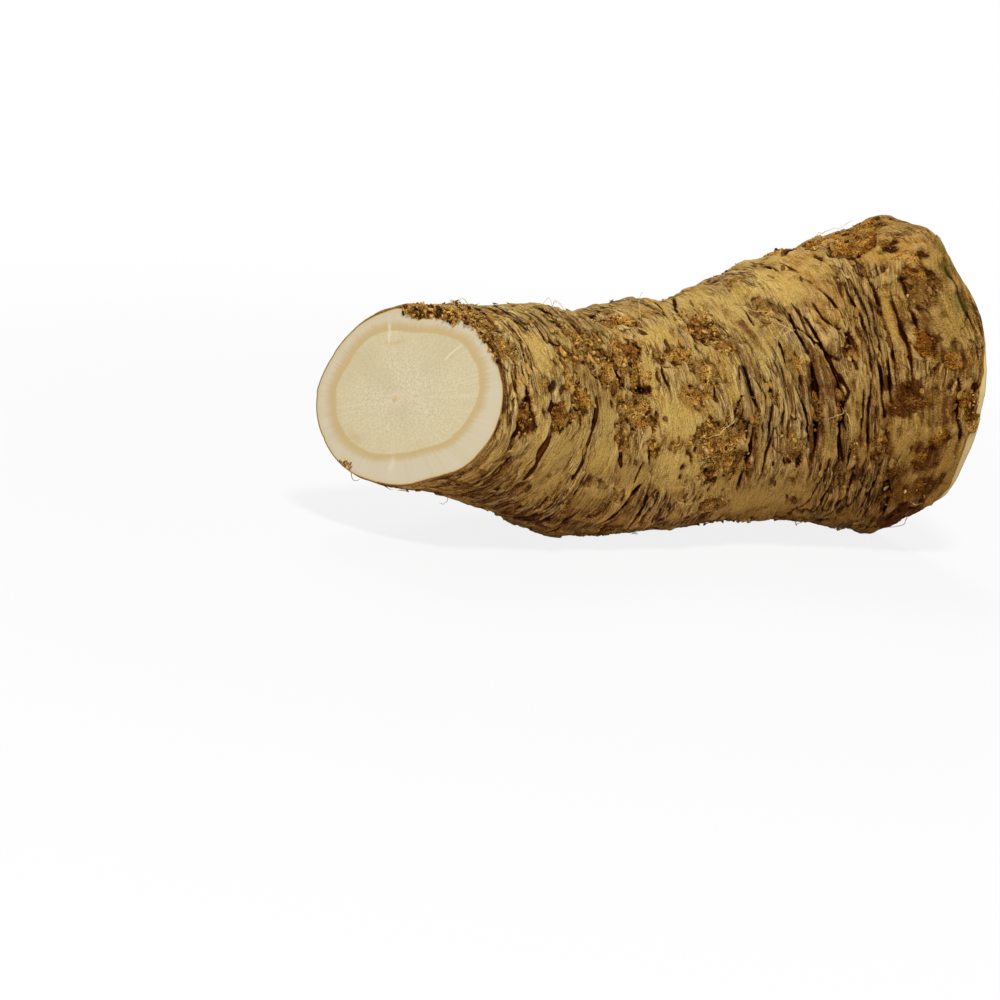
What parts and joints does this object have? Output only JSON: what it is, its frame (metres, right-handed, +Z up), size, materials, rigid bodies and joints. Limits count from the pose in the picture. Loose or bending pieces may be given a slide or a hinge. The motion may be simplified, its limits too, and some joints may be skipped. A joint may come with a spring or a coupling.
{
  "type": "horseradish root",
  "caption": "Cut piece of gnarled, tapering root lying on its side, with a slanted cut face at its small end and a trimmed crown.",
  "frame": {"origin": "middle of the bounding box, on the surface that the root lies on", "axes": "+X along the root towards its crown, +Z up, so that the slanted cut face of the small end looks towards -X and -Y"},
  "size_m": [0.139, 0.07, 0.0706],
  "materials": {
    "bark": "rough, dry, wrinkled root bark, olive tan with orange-brown corky patches and dark crevices; the two cut ends show pale cream flesh"
  },
  "bodies": {
    "root": {"horseradish_root": "bark"}
  },
  "joints": []
}
